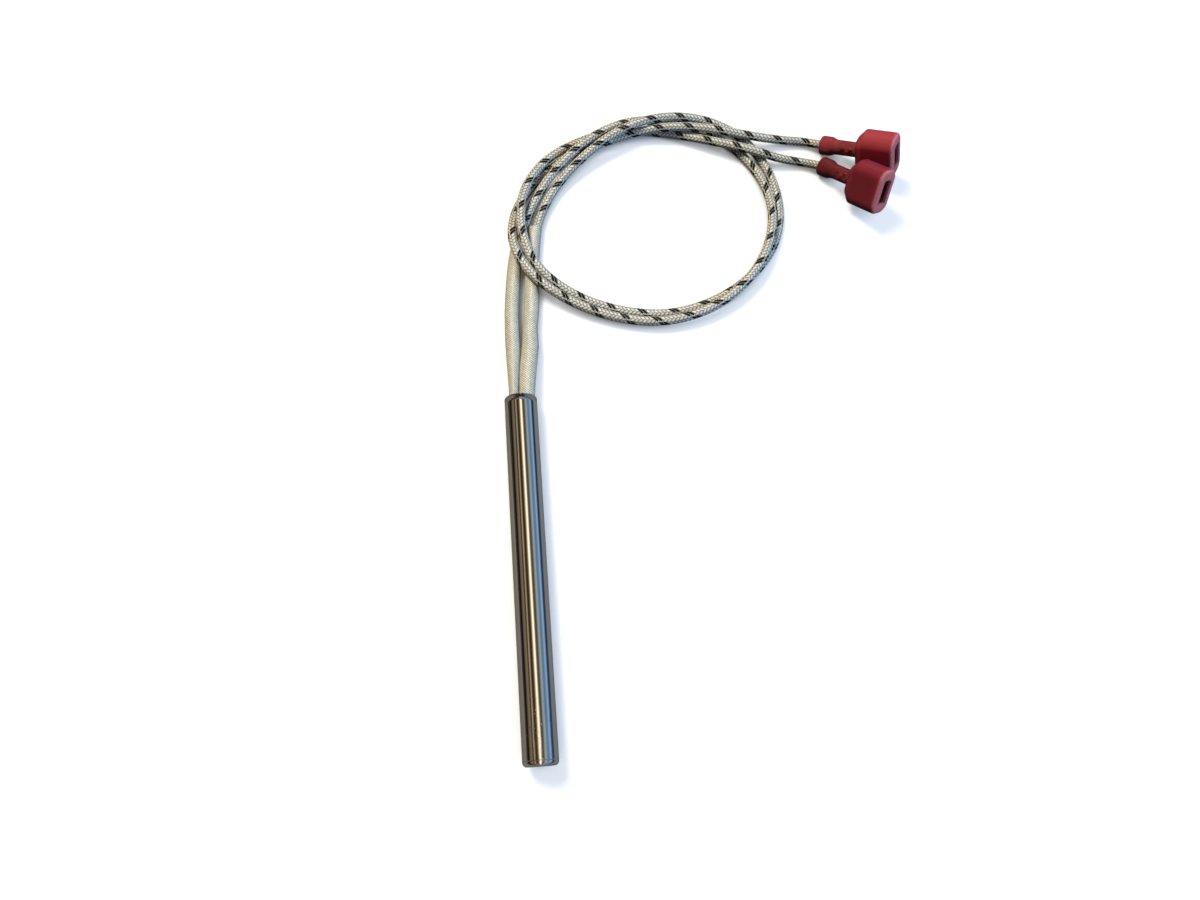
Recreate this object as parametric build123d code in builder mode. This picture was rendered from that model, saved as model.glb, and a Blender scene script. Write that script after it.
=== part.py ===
"""Cartridge igniter of a pellet stove: a wound ceramic core in a steel sheath, two leads, two receptacles.

The sheath lies on the floor (z = 0) along Y. Its mouth, where the leads come out, is towards +Y and its
welded end towards -Y. The origin is on the floor under the middle of the sheath. Lengths are millimetres.
"""
from build123d import *
import os
from math import cos, pi, radians, sin, tan

# Sheath and its closed end
sheath_diameter = 9.525
sheath_length = 102.5
sheath_wall = 0.6
mouth_round = 0.45
end_disc_thickness = 1.6
end_disc_round = 1.2
end_disc_dish = 0.35
end_disc_dish_diameter = 5.9
end_disc_spigot = 2.0
fit_clearance = 0.05
edge_share = 0.8

# Heating core inside the sheath
end_spacer_thickness = 2.5
core_diameter = 6.6
core_length = 64.0
pin_spacer_thickness = 3.0
ribbon_thickness = 0.3
ribbon_width = 1.4
ribbon_pitch = 4.8
ribbon_end_margin = 3.0
ribbon_tail_share = 0.75
pin_diameter = 1.3
pin_chamfer = 0.2
short_pin_depth = 12.0
pin_tip_margin = 2.0

# Lead end of the sheath
mouth_recess = 6.0
seal_thickness = 4.0
seal_chamfer = 0.3
splice_diameter = 2.4
splice_length = 9.0
splice_start = 1.5
splice_overlap = 3.5
crimp_depth = 0.2
crimp_radius = 1.6

# Leads and their sleeves
lead_diameter = 2.7
lead_spacing = 4.1
lead_tail = 1.5
lead_straight = 1.75
strand_diameter = 1.3
sleeve_diameter = 4.0
sleeve_bore = 2.9
sleeve_corner_count = 5
sleeve_end_share = 0.5

# Terminals, measured from the mouth of the bell along the terminal's own axis
bell_diameter = 6.0
bell_round = 0.6
bell_straight = 3.1
bell_mouth_diameter = 4.9
funnel_depth = 1.6
neck_diameter = 4.7
neck_start = 5.6
neck_dents = (8.2, 10.8)
neck_dent_depth = 0.35
neck_dent_radius = 1.6
shoulder_start = 12.5
shoulder_length = 2.3
shoulder_width = 9.0
shoulder_thickness = 6.2
shoulder_corner = 2.4
shoulder_round = 0.9
terminal_length = 25.2
housing_width = 14.2
housing_thickness = 8.4
housing_corner = 3.4
housing_back_wall = 1.2
rim_round = 1.2
cavity_corner = 0.7
front_lip = 0.9
slot_width = 7.2
slot_height = 2.3
slot_corner = 0.8
slot_chamfer = 0.45
lead_entry = 0.5
insulation_end = 6.0
grip_start = 2.1
grip_setback = 0.2
grip_wall = 0.3
barrel_start = 6.6
barrel_end = 13.0
barrel_dent_radius = 1.6
barrel_dent_depth = 0.2
strand_setback = 1.0
sheet_thickness = 0.4
tongue_width = 1.2
tongue_drop = 0.15
tongue_overlap = 0.6
receptacle_start = 16.0
tab_width = 6.3
tab_overlap = 0.15
curl_radius = 0.95
curl_turn = 165
spring_slot_length = 5.0
spring_slot_width = 0.6
spring_slot_spacing = 2.8
dimple_diameter = 1.5
dimple_height = 0.3
dimple_slope = 35

# Where each terminal lies: middle of the bell's mouth, heading, rise of its open end and roll, in degrees
terminal_place = {
    "right": ((102.5, 127.1, 2.63), -51, 21, -118),
    "left": ((103.8, 135.2, 2.65), -32, 20, -98),
}

# Lead routes between the sheath and the terminals, chosen by hand along the loop
lead_route = {
    "right": [
        (3, 66.5, 3.4), (4.3, 79.5, 2.3), (5.2, 92, 2.1), (6.3, 104, 2.1), (9.4, 116.5, 2.1),
        (15.3, 126.8, 2.4), (24.2, 135.5, 4.1), (36.3, 143.6, 6.2), (50.7, 148.6, 6), (65.6, 148.8, 3.2),
        (77.8, 142.4, 1.4), (85.2, 129.6, 1.4), (87.3, 114.3, 1.4), (84, 99.8, 1.4), (74.6, 88.3, 1.4),
        (61.5, 80.3, 1.4), (47, 76.9, 1.4), (32, 79.3, 1.5), (17.9, 85.3, 2.8), (6.6, 94.9, 5.8),
        (2.8, 108.5, 6.1), (4, 123, 5.3), (11.4, 136.4, 3.4), (24, 144.9, 1.5), (38.5, 147.7, 1.4),
        (53, 145.2, 1.4), (67.5, 138.8, 3.9), (80.5, 133.2, 5.1), (89.3, 130.6, 2.9), (96.8, 129.7, 1.6),
    ],
    "left": [
        (-2, 66.5, 3.4), (-1.3, 79, 2.3), (-0.4, 90.5, 2.1), (0.9, 101.5, 2.1), (4.2, 112.8, 2.1),
        (9, 123.8, 2.5), (17.7, 134.6, 4.2), (29.3, 143.7, 5.3), (42.7, 149.5, 4), (57, 149.1, 1.4),
        (69.8, 142.5, 1.4), (79.4, 130.8, 1.5), (83.8, 116.5, 2.8), (82.6, 102, 4.2), (75.6, 88.4, 4.5),
        (62.5, 78.3, 3.4), (47.5, 74.2, 2.9), (33, 76.2, 2.5), (17.9, 82.1, 3.3), (5.5, 91.4, 5.8),
        (-0.4, 104, 5.6), (1.3, 118.4, 2.4), (9.3, 130.8, 1.4), (21.5, 139.2, 1.4), (36.5, 144.2, 2),
        (51.5, 145.2, 4.9), (66.5, 143, 5.5), (80.5, 139.2, 4.5), (90.5, 138.5, 2.3), (98.5, 138, 1.4),
    ],
}
arc_share = 0.45

# Sizes and stations that follow from the driving dimensions
sheath_radius = sheath_diameter / 2
bore_radius = sheath_radius - sheath_wall
inner_radius = bore_radius - fit_clearance
axis_height = sheath_radius
closed_y = -sheath_length / 2
mouth_y = sheath_length / 2
tube_start_y = closed_y + end_disc_thickness
spacer_y = tube_start_y + end_disc_spigot
core_y = spacer_y + end_spacer_thickness
pin_spacer_y = core_y + core_length
potting_y = pin_spacer_y + pin_spacer_thickness
seal_outer_y = mouth_y - mouth_recess
seal_y = seal_outer_y - seal_thickness
lead_start_y = seal_y - lead_tail
lead_offset = lead_spacing / 2
pin_hole_diameter = pin_diameter + 2 * fit_clearance
winding_radius = core_diameter / 2 + ribbon_thickness
half_turns = 2 * int((core_length - 2 * ribbon_end_margin - ribbon_pitch / 2) / ribbon_pitch) + 1
winding_height = half_turns * ribbon_pitch / 2
winding_start_y = core_y + ribbon_end_margin
winding_end_y = winding_start_y + winding_height
splice_y = potting_y + splice_start
pin_end_y = splice_y + splice_overlap
strand_start_y = splice_y + splice_length - splice_overlap
side_of = {"right": 1, "left": -1}

sheath_axis = Axis((0, 0, axis_height), (0, 1, 0))
axis_plane = Plane.XY.offset(axis_height)


def cross_plane(y):
    """Plane across the sheath at y, with its normal along +Y and its own X along the part's X."""
    return Plane(origin=(0, y, axis_height), x_dir=(1, 0, 0), z_dir=(0, 1, 0))


def finish(part, name):
    """Label a finished solid, write it and say how many solids it has."""
    part.label = name
    export_step(part, f"parts/{name}.step")
    print(f"{name}: {len(part.solids())} solid, {part.volume:.2f} mm3")


os.makedirs("parts", exist_ok=True)

# Sheath: drawn tube with a rounded mouth
with BuildPart() as sheath:
    with BuildSketch(cross_plane(tube_start_y)):
        Circle(sheath_radius)
        Circle(bore_radius, mode=Mode.SUBTRACT)
    extrude(amount=mouth_y - tube_start_y)
    mouth_edges = sheath.faces().sort_by(Axis.Y)[-1].edges().sort_by(SortBy.LENGTH)
    fillet(mouth_edges[-1], radius=min(mouth_round, edge_share * sheath_wall))
finish(sheath.part, "sheath")

# End disc: a turned plug with a dished outer face, welded into the tube
dish_radius = end_disc_dish_diameter / 2
with BuildPart() as end_disc:
    with BuildSketch(axis_plane):
        with BuildLine():
            TangentArc((0, closed_y + end_disc_dish), (dish_radius, closed_y), tangent=(1, 0))
            Polyline(
                (dish_radius, closed_y),
                (sheath_radius, closed_y),
                (sheath_radius, tube_start_y),
                (inner_radius, tube_start_y),
                (inner_radius, spacer_y),
                (0, spacer_y),
                (0, closed_y + end_disc_dish),
            )
        make_face()
    revolve(axis=sheath_axis)
    outer_edge = end_disc.edges().group_by(Axis.Y)[0].sort_by(SortBy.LENGTH)[-1]
    fillet(outer_edge, radius=min(end_disc_round, edge_share * end_disc_thickness))
finish(end_disc.part, "end_disc")

# End spacer: magnesia wafer between the core and the welded end
with BuildPart() as end_spacer:
    with BuildSketch(cross_plane(spacer_y)):
        Circle(inner_radius)
    extrude(amount=end_spacer_thickness)
finish(end_spacer.part, "end_spacer")

# Core: extruded ceramic with two pin holes, notched at its ends where the ribbon turns in to the pins
notch_width = ribbon_thickness + 2 * fit_clearance
notch_reach = ribbon_width / 2 + fit_clearance
with BuildPart() as ceramic_core:
    with BuildSketch(cross_plane(core_y)):
        Circle(core_diameter / 2)
        with Locations((lead_offset, 0), (-lead_offset, 0)):
            Circle(pin_hole_diameter / 2, mode=Mode.SUBTRACT)
    extrude(amount=core_length)
    with BuildSketch(cross_plane(core_y)):
        with Locations((-core_diameter / 2, 0)):
            Rectangle(2 * (core_diameter / 2 - lead_offset), notch_width)
    extrude(amount=winding_start_y + notch_reach - core_y, mode=Mode.SUBTRACT)
    with BuildSketch(cross_plane(pin_spacer_y)):
        with Locations((core_diameter / 2, 0)):
            Rectangle(2 * (core_diameter / 2 - lead_offset), notch_width)
    extrude(amount=winding_end_y - notch_reach - pin_spacer_y, mode=Mode.SUBTRACT)
finish(ceramic_core.part, "ceramic_core")

# Resistance ribbon: an odd number of half turns, so that its two ends meet the two pins
ribbon_middle = (core_diameter / 2 + winding_radius) / 2
ribbon_path = Helix(
    pitch=ribbon_pitch,
    height=winding_height,
    radius=ribbon_middle,
    center=(0, winding_start_y, axis_height),
    direction=(0, 1, 0),
).rotate(sheath_axis, -90)
ribbon_plane = Plane(origin=ribbon_path @ 0, x_dir=(1, 0, 0), z_dir=ribbon_path % 0)
tail_reach = lead_offset + pin_diameter / 2
with BuildPart() as resistance_winding:
    with BuildSketch(ribbon_plane):
        Rectangle(ribbon_thickness, ribbon_width)
    sweep(path=ribbon_path, is_frenet=True)
    for side, y in ((-1, winding_start_y), (1, winding_end_y)):
        tail_plane = Plane(origin=(side * tail_reach, y, axis_height), x_dir=(0, 1, 0), z_dir=(side, 0, 0))
        with BuildSketch(tail_plane):
            Rectangle(ribbon_width, ribbon_thickness)
        extrude(amount=core_diameter / 2 + ribbon_tail_share * ribbon_thickness - tail_reach)
finish(resistance_winding.part, "resistance_winding")

# Magnesia packed round the winding
with BuildPart() as magnesia_fill:
    with BuildSketch(cross_plane(core_y)):
        Circle(inner_radius)
        Circle(winding_radius + fit_clearance, mode=Mode.SUBTRACT)
    extrude(amount=core_length)
finish(magnesia_fill.part, "magnesia_fill")

# Wafer at the lead end of the core, which the two pins pass through
with BuildPart() as pin_spacer:
    with BuildSketch(cross_plane(pin_spacer_y)):
        Circle(inner_radius)
        with Locations((lead_offset, 0), (-lead_offset, 0)):
            Circle(pin_hole_diameter / 2, mode=Mode.SUBTRACT)
    extrude(amount=pin_spacer_thickness)
finish(pin_spacer.part, "pin_spacer")

# Pins: the left one runs to the far end of the core, the right one stops near its lead end
pin_start_y = {"left": core_y + pin_tip_margin, "right": pin_spacer_y - short_pin_depth}
for name, side in side_of.items():
    with BuildPart() as pin:
        with BuildSketch(cross_plane(pin_start_y[name])):
            with Locations((side * lead_offset, 0)):
                Circle(pin_diameter / 2)
        extrude(amount=pin_end_y - pin_start_y[name])
        chamfer(pin.edges(), length=pin_chamfer)
    finish(pin.part, f"pin_{name}")

# Splices: crimped ferrules that join each pin to the strands of its lead
for name, side in side_of.items():
    with BuildPart() as splice:
        with BuildSketch(cross_plane(splice_y)):
            with Locations((side * lead_offset, 0)):
                Circle(splice_diameter / 2)
                Circle(strand_diameter / 2, mode=Mode.SUBTRACT)
        extrude(amount=splice_length)
        for crimp_y in (splice_y + splice_overlap / 2, splice_y + splice_length - splice_overlap / 2):
            dent_z = axis_height + splice_diameter / 2 + crimp_radius - crimp_depth
            with BuildSketch(Plane.YZ.offset(side * lead_offset - splice_diameter)):
                with Locations((crimp_y, dent_z)):
                    Circle(crimp_radius)
            extrude(amount=2 * splice_diameter, mode=Mode.SUBTRACT)
    finish(splice.part, f"splice_{name}")

# Strands: the bare end of each lead inside its splice
for name, side in side_of.items():
    with BuildPart() as strands:
        with BuildSketch(cross_plane(strand_start_y)):
            with Locations((side * lead_offset, 0)):
                Circle(strand_diameter / 2)
        extrude(amount=lead_start_y - strand_start_y)
    finish(strands.part, f"inner_strands_{name}")

# Potting: cement poured round the splices, behind the seal
with BuildPart() as potting_cement:
    with BuildSketch(cross_plane(potting_y)):
        Circle(inner_radius)
    extrude(amount=seal_y - potting_y)
    for side in side_of.values():
        for start_y, end_y, diameter in (
            (potting_y, splice_y, pin_hole_diameter),
            (splice_y, splice_y + splice_length, splice_diameter),
            (splice_y + splice_length, lead_start_y, strand_diameter),
            (lead_start_y, seal_y, lead_diameter),
        ):
            with BuildSketch(cross_plane(start_y)):
                with Locations((side * lead_offset, 0)):
                    Circle(diameter / 2)
            extrude(amount=end_y - start_y, mode=Mode.SUBTRACT)
finish(potting_cement.part, "potting_cement")

# Seal: ceramic bead in the mouth with a hole for each lead
with BuildPart() as mouth_seal:
    with BuildSketch(cross_plane(seal_y)):
        Circle(inner_radius)
        with Locations((lead_offset, 0), (-lead_offset, 0)):
            Circle(lead_diameter / 2, mode=Mode.SUBTRACT)
    extrude(amount=seal_thickness)
    outer_rim = mouth_seal.faces().sort_by(Axis.Y)[-1].edges().sort_by(SortBy.LENGTH)[-1]
    chamfer(outer_rim, length=seal_chamfer)
finish(mouth_seal.part, "mouth_seal")


def terminal_plane(place):
    """Plane across a terminal at its bell's mouth: X along its width, Z along its axis to the open end."""
    origin, heading, rise, roll = place
    heading, rise, roll = radians(heading), radians(rise), radians(roll)
    along = Vector(cos(rise) * cos(heading), cos(rise) * sin(heading), sin(rise))
    level = Vector(-sin(heading), cos(heading), 0)
    width = level * cos(roll) + along.cross(level) * sin(roll)
    return Plane(origin=origin, x_dir=width, z_dir=along)


def route_points(name):
    """Whole route of a lead, from behind the seal to the end of its insulation in the terminal."""
    across = side_of[name] * lead_offset
    mouth = terminal_plane(terminal_place[name])
    start = [(across, lead_start_y, axis_height), (across, mouth_y + lead_straight, axis_height)]
    end = [mouth.offset(lead_entry).origin, mouth.offset(insulation_end).origin]
    return [Vector(*point) for point in start + lead_route[name]] + end


def arc_radii(points):
    """Largest radius at each corner of a route that its two runs leave room for."""
    radii = []
    for before, corner, after in zip(points, points[1:], points[2:]):
        turn = radians((corner - before).get_angle(after - corner))
        shorter = min((corner - before).length, (after - corner).length)
        radii.append(arc_share * shorter / tan(turn / 2))
    return radii


def path_length(points, radii):
    """Length of the runs and arcs of a route."""
    total = sum((after - before).length for before, after in zip(points, points[1:]))
    for before, corner, after, radius in zip(points, points[1:], points[2:], radii):
        turn = radians((corner - before).get_angle(after - corner))
        total -= radius * (2 * tan(turn / 2) - turn)
    return total


# Leads: plain tubes along their routes
for name in side_of:
    points = route_points(name)
    radii = arc_radii(points)
    runs = [(after - before).length for before, after in zip(points, points[1:])]
    with BuildPart() as lead:
        with BuildLine() as route:
            FilletPolyline(*points, radius=radii)
        with BuildSketch(Plane(origin=route.line @ 0, x_dir=(1, 0, 0), z_dir=route.line % 0)):
            Circle(lead_diameter / 2)
        sweep()
    length = path_length(points, radii)
    ratio = lead.part.volume / (pi * lead_diameter**2 / 4 * length)
    print(f"lead_{name}: length {length:.1f}, volume over section times length {ratio:.5f}")
    print(f"  runs {min(runs):.1f} to {max(runs):.1f}, radii", [round(radius) for radius in radii])
    finish(lead.part, f"lead_{name}")

# Sleeves: woven tubes over the leads, from the seal out through the mouth
for name in side_of:
    points = route_points(name)
    radii = arc_radii(points)
    across = side_of[name] * lead_offset
    first = Vector(across, seal_outer_y, axis_height)
    before, after = points[sleeve_corner_count], points[sleeve_corner_count + 1]
    last = before + (after - before) * sleeve_end_share
    sleeve_points = [first] + points[1:sleeve_corner_count + 1] + [last]
    sleeve_radii = radii[:sleeve_corner_count]
    with BuildPart() as sleeve:
        with BuildLine() as route:
            FilletPolyline(*sleeve_points, radius=sleeve_radii)
        with BuildSketch(Plane(origin=route.line @ 0, x_dir=(1, 0, 0), z_dir=route.line % 0)):
            Circle(sleeve_diameter / 2)
            Circle(sleeve_bore / 2, mode=Mode.SUBTRACT)
        sweep()
    print(f"sleeve_{name}: length {path_length(sleeve_points, sleeve_radii):.1f}")
    finish(sleeve.part, f"sleeve_{name}")


def side_plane(mouth, offset=0):
    """Plane along a terminal's axis at a height in its thickness: X along its width, Y along its axis."""
    return Plane(origin=mouth.origin + mouth.y_dir * offset, x_dir=mouth.x_dir, z_dir=-mouth.y_dir)


def edge_plane(mouth, offset):
    """Plane along a terminal's axis, square to its width: X along its axis, Y along its thickness."""
    return Plane(origin=mouth.origin + mouth.x_dir * offset, x_dir=mouth.z_dir, z_dir=-mouth.x_dir)


barrel_radius = strand_diameter / 2 + fit_clearance + sheet_thickness
barrel_hole_radius = barrel_radius + fit_clearance
grip_bore = lead_diameter + 2 * fit_clearance
grip_diameter = grip_bore + 2 * grip_wall
bell_bore_radius = grip_diameter / 2 + fit_clearance
curl_centre = tab_width / 2 - tab_overlap
curl_outer = curl_radius + sheet_thickness / 2
base_bottom = -curl_outer
base_top = base_bottom + sheet_thickness
receptacle_end = terminal_length - front_lip - fit_clearance
body_start = shoulder_start + shoulder_length
cavity_start = shoulder_start + housing_back_wall
cavity_width = 2 * (curl_centre + curl_outer + 2 * fit_clearance)
cavity_height = 2 * (curl_outer + 2 * fit_clearance)


def make_housing(mouth):
    """Moulded nylon cover: bell over the lead, crimped neck and a flat housing with the tab's slot."""
    axis = Axis(mouth.origin, mouth.z_dir)
    bell_radius, neck_radius = bell_diameter / 2, neck_diameter / 2
    with BuildPart() as housing:
        with BuildSketch(mouth.offset(shoulder_start)):
            RectangleRounded(shoulder_width, shoulder_thickness, shoulder_corner)
        with BuildSketch(mouth.offset(body_start)):
            RectangleRounded(housing_width, housing_thickness, housing_corner)
        loft()
        extrude(housing.faces().sort_by(axis)[-1], amount=terminal_length - body_start)
        fillet(housing.faces().sort_by(axis)[0].edges(), radius=shoulder_round)
        ring_start, ring_end = body_start - fit_clearance, body_start + fit_clearance
        fillet(housing.edges().filter_by_position(axis, ring_start, ring_end), radius=shoulder_round)
        fillet(housing.faces().sort_by(axis)[-1].edges(), radius=rim_round)
        with BuildSketch(side_plane(mouth)):
            with BuildLine():
                Line((0, 0), (bell_radius - bell_round, 0))
                RadiusArc((bell_radius - bell_round, 0), (bell_radius, bell_round), -bell_round)
                Line((bell_radius, bell_round), (bell_radius, bell_straight))
                Spline((bell_radius, bell_straight), (neck_radius, neck_start), tangents=((0, 1), (0, 1)))
                Polyline((neck_radius, neck_start), (neck_radius, cavity_start), (0, cavity_start), (0, 0))
            make_face()
        revolve(axis=axis)
        dent_height = neck_radius + neck_dent_radius - neck_dent_depth
        for dent in neck_dents:
            with BuildSketch(edge_plane(mouth, neck_diameter)):
                with Locations((dent, dent_height), (dent, -dent_height)):
                    Circle(neck_dent_radius)
            extrude(amount=2 * neck_diameter, mode=Mode.SUBTRACT)
        with BuildSketch(side_plane(mouth)):
            with BuildLine():
                Polyline(
                    (0, 0),
                    (bell_mouth_diameter / 2, 0),
                    (bell_bore_radius, funnel_depth),
                    (bell_bore_radius, insulation_end),
                    (barrel_hole_radius, barrel_start),
                    (barrel_hole_radius, cavity_start),
                    (0, cavity_start),
                    (0, 0),
                )
            make_face()
        revolve(axis=axis, mode=Mode.SUBTRACT)
        with BuildSketch(mouth.offset(cavity_start)):
            RectangleRounded(cavity_width, cavity_height, cavity_corner)
        extrude(amount=terminal_length - front_lip - cavity_start, mode=Mode.SUBTRACT)
        with BuildSketch(mouth.offset(terminal_length - front_lip)):
            RectangleRounded(slot_width, slot_height, slot_corner)
        extrude(amount=front_lip, mode=Mode.SUBTRACT)
        front_face = housing.faces().sort_by(axis)[-1]
        chamfer(front_face.inner_wires()[0].edges(), length=slot_chamfer)
    return housing.part


def make_receptacle(mouth):
    """Receptacle folded from tinned brass strip: crimp barrel, tongue and a base with two rolled edges."""
    turn = radians(curl_turn)
    middle_turn = (turn - pi / 2) / 2
    middle_reach = curl_centre + curl_radius * cos(middle_turn)
    base_middle = base_bottom + sheet_thickness / 2
    tongue_bottom = tongue_drop - barrel_radius
    barrel_middle = (barrel_start + barrel_end) / 2
    with BuildPart() as receptacle:
        with BuildSketch(mouth.offset(receptacle_start)):
            with BuildLine():
                Line((-curl_centre, base_middle), (curl_centre, base_middle))
                for side in side_of.values():
                    ThreePointArc(
                        (side * curl_centre, base_middle),
                        (side * middle_reach, curl_radius * sin(middle_turn)),
                        (side * (curl_centre + curl_radius * cos(turn)), curl_radius * sin(turn)),
                    )
            trace(line_width=sheet_thickness)
        extrude(amount=receptacle_end - receptacle_start)
        with BuildSketch(mouth.offset(barrel_start)):
            Circle(barrel_radius)
            Circle(barrel_radius - sheet_thickness, mode=Mode.SUBTRACT)
        extrude(amount=barrel_end - barrel_start)
        with BuildSketch(edge_plane(mouth, barrel_radius)):
            with Locations((barrel_middle, barrel_radius + barrel_dent_radius - barrel_dent_depth)):
                Circle(barrel_dent_radius)
        extrude(amount=2 * barrel_radius, mode=Mode.SUBTRACT)
        with BuildSketch(side_plane(mouth, tongue_bottom)):
            with BuildLine():
                Polyline(
                    (-tongue_width / 2, barrel_end - tongue_overlap),
                    (tongue_width / 2, barrel_end - tongue_overlap),
                    (tongue_width / 2, cavity_start),
                    (curl_centre, receptacle_start),
                    (curl_centre, receptacle_start + tongue_overlap),
                    (-curl_centre, receptacle_start + tongue_overlap),
                    (-curl_centre, receptacle_start),
                    (-tongue_width / 2, cavity_start),
                    close=True,
                )
            make_face()
        extrude(amount=-sheet_thickness)
        spring_middle = (receptacle_start + tongue_overlap + receptacle_end) / 2
        spring_side = spring_slot_spacing / 2
        with BuildSketch(side_plane(mouth, base_bottom)):
            with Locations((-spring_side, spring_middle), (spring_side, spring_middle)):
                SlotOverall(spring_slot_length, spring_slot_width, rotation=90)
        extrude(amount=-sheet_thickness, mode=Mode.SUBTRACT)
        with BuildSketch(side_plane(mouth, base_top)):
            with Locations((0, spring_middle)):
                Circle(dimple_diameter / 2)
        extrude(amount=-dimple_height, taper=dimple_slope)
    return receptacle.part


def make_tube(mouth, start, end, outer, inner=0):
    """Round piece on a terminal's axis: a grip sleeve, or the bare strands of a lead."""
    with BuildPart() as tube:
        with BuildSketch(mouth.offset(start)):
            Circle(outer / 2)
            if inner:
                Circle(inner / 2, mode=Mode.SUBTRACT)
        extrude(amount=end - start)
    return tube.part


# Terminals: one on each lead
grip_end = insulation_end - grip_setback
strand_end = barrel_end - strand_setback
for name in side_of:
    mouth = terminal_plane(terminal_place[name])
    finish(make_housing(mouth), f"terminal_housing_{name}")
    finish(make_receptacle(mouth), f"receptacle_{name}")
    finish(make_tube(mouth, grip_start, grip_end, grip_diameter, grip_bore), f"grip_sleeve_{name}")
    finish(make_tube(mouth, insulation_end, strand_end, strand_diameter), f"outer_strands_{name}")
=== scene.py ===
"""Looks of the pellet stove igniter: polished sheath, two leads in woven sleeves, two red terminals.

Lengths are metres. The sheath lies along Y on the floor (z = 0), with its mouth towards +Y.
"""
from math import cos, radians, sin, tau

import bpy
import numpy as np
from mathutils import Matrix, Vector


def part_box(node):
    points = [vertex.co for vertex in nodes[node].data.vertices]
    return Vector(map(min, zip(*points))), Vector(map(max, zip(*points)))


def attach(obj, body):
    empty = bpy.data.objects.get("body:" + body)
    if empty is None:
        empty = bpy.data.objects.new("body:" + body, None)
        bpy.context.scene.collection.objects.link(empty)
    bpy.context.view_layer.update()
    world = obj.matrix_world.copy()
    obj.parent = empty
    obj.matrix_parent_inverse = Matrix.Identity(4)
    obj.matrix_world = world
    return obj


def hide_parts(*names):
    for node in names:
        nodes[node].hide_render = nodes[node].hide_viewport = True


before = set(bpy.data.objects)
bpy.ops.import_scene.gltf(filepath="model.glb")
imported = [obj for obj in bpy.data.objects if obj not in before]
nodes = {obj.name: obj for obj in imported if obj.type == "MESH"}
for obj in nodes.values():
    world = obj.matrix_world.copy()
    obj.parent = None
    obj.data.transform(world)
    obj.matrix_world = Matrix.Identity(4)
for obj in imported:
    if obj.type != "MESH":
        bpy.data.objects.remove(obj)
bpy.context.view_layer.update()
side_of = {"right": 1, "left": -1}

# Camera, at the photograph's viewing angle
camera_aim = Vector((0.02202, 0.03338, 0.00476))
camera_distance = 0.2596
camera_elevation = radians(70.28)
camera_heading = radians(4.62)
camera_lens = 27

camera = bpy.data.objects.new("photo_camera", bpy.data.cameras.new("photo_camera"))
bpy.context.scene.collection.objects.link(camera)
bpy.context.scene.camera = camera
look = Vector((
    sin(camera_heading) * cos(camera_elevation),
    cos(camera_heading) * cos(camera_elevation),
    -sin(camera_elevation),
))
camera.location = camera_aim - look * camera_distance
camera.rotation_euler = look.to_track_quat("-Z", "Y").to_euler()
camera.data.lens = camera_lens
camera.data.sensor_width = 36
camera.data.clip_start = 0.01
camera.data.clip_end = 20

# Leads: start behind the seal, turn outside the mouth, and reach into the bell of a terminal
lead_diameter = 0.0027
lead_offset = 0.00205
lead_start_y = 0.03975
lead_turn_y = 0.0530
lead_entry = 0.0005
insulation_end = 0.0060

# Terminals: mouth of the bell, then heading, rise and roll in degrees
terminal_place = {
    "right": ((0.1025, 0.1271, 0.00263), -51, 21, -118),
    "left": ((0.1038, 0.1352, 0.00265), -32, 20, -98),
}

# Bounds between the tones of a terminal, along it from the bell's mouth, and where its housing ends
housing_end = 0.0252
neck_start = (0.0058, 0.0072)
bell_end = (0.0125, 0.0140)
metal_start = (0.0125, 0.0158)
metal_end = (0.0226, 0.0246)
rim_start = (housing_end - 0.0011, housing_end - 0.0002)

# The same from its middle, across its width and through its thickness, and how far the bounds wander
metal_side = (0.0030, 0.0062)
slot_side = (0.0032, 0.0042)
slot_edge = (0.0016, 0.0022)
bound_wobble = 0.0008

# Share of each tone over the ones below it
metal_share = 0.9
neck_share = 0.5
glint_share = 0.35
slot_share = 0.85

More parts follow.
